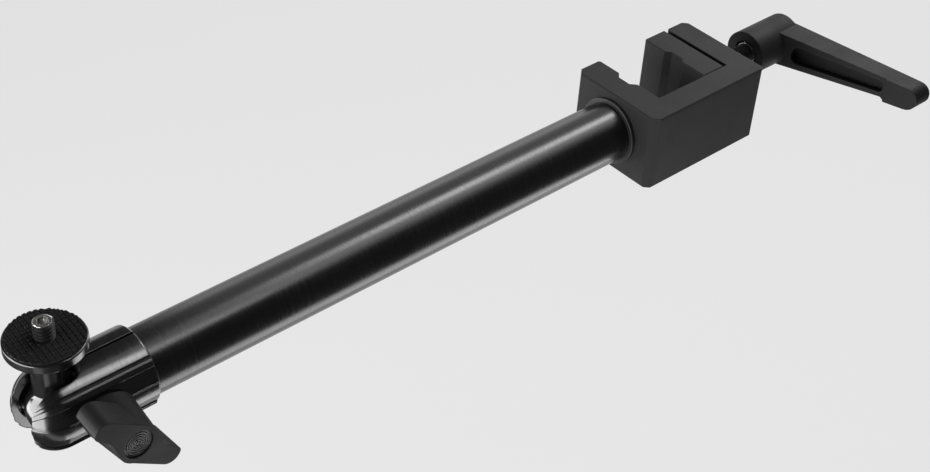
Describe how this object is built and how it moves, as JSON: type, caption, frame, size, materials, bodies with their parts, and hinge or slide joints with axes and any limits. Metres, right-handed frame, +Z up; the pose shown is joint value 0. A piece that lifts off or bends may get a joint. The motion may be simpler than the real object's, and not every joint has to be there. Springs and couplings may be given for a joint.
{
  "type": "mount arm",
  "caption": "Mount arm: a tube with a pinch ball head and camera screw plate at one end and a C-shaped screw clamp with a ratchet lever at the other",
  "frame": {"origin": "middle of the fixed jaw's pole recess, on the floor of the recess", "axes": "+X runs from the ball head along the tube to the clamp lever, +Z points up out of the camera plate and along the clamped pole, +Y points to the open mouth of the clamp"},
  "size_m": [0.3521, 0.0773, 0.0477],
  "materials": {
    "powder_coat": "fine matte powder coat",
    "lever_paint": "matte paint on cast zinc",
    "satin_anodised": "satin black anodised aluminium with a fine grain",
    "gloss_anodised": "glossy black anodised aluminium",
    "black_steel": "blackened steel",
    "bare_steel": "bare turned steel",
    "black_acetal": "smooth bearing plastic",
    "pad_rubber": "fine square knurl",
    "knob_plastic": "fine matte texture"
  },
  "bodies": {
    "arm": {"clamp_body": "powder_coat", "clamp_adapter": "satin_anodised", "arm_tube": "satin_anodised", "head_adapter": "satin_anodised", "adapter_grub_screws": "black_steel", "socket_housing": "gloss_anodised", "ball_backing_cup": "black_acetal"},
    "ball": {"ball_stem": "gloss_anodised"},
    "plate": {"camera_plate": "gloss_anodised", "grip_pad": "pad_rubber", "camera_screw": "black_steel"},
    "washer": {"knob_washer": "bare_steel"},
    "knob": {"wing_knob": "knob_plastic", "knob_bolt": "black_steel", "knob_cap": "knob_plastic"},
    "jaw": {"moving_jaw": "powder_coat", "thrust_disc": "bare_steel"},
    "screw": {"clamp_screw": "black_steel", "screw_snap_ring": "bare_steel", "lever_insert": "bare_steel", "lever_spring": "bare_steel", "lever_retainer": "black_steel"},
    "lever": {"ratchet_lever": "lever_paint"}
  },
  "joints": [
    {"name": "ball_tilt", "type": "hinge", "parent": "arm", "child": "ball", "pos_m": [-0.23704, -0.0044, 0], "axis": [0, 1, 0], "range_deg": [-189, 9]},
    {"name": "plate_swivel", "type": "hinge", "parent": "ball", "child": "plate", "pos_m": [-0.23704, -0.0044, 0.0235], "axis": [0, 0, 1], "continuous": true},
    {"name": "washer_travel", "type": "slide", "parent": "arm", "child": "washer", "axis": [0, -1, 0], "range_m": [0, 0.0008]},
    {"name": "knob_turn", "type": "hinge", "parent": "washer", "child": "knob", "pos_m": [-0.22644, -0.0177, 0], "axis": [0, -1, 0], "range_deg": [0, 360.5]},
    {"name": "jaw_slide", "type": "slide", "parent": "arm", "child": "jaw", "axis": [1, 0, 0], "range_m": [-0.02, 0.001]},
    {"name": "screw_turn", "type": "hinge", "parent": "jaw", "child": "screw", "pos_m": [0.03, 0, 0], "axis": [1, 0, 0], "range_deg": [-5761, 289]},
    {"name": "lever_lift", "type": "slide", "parent": "screw", "child": "lever", "axis": [1, 0, 0], "range_m": [0, 0.0034], "stiffness_N_per_m": 1500, "springref_m": -0.002}
  ],
  "couplings": [
    {"joint": "knob_turn", "follows": "washer_travel", "rad_per_m": 7854},
    {"joint": "screw_turn", "follows": "jaw_slide", "rad_per_m": 5026.5}
  ]
}
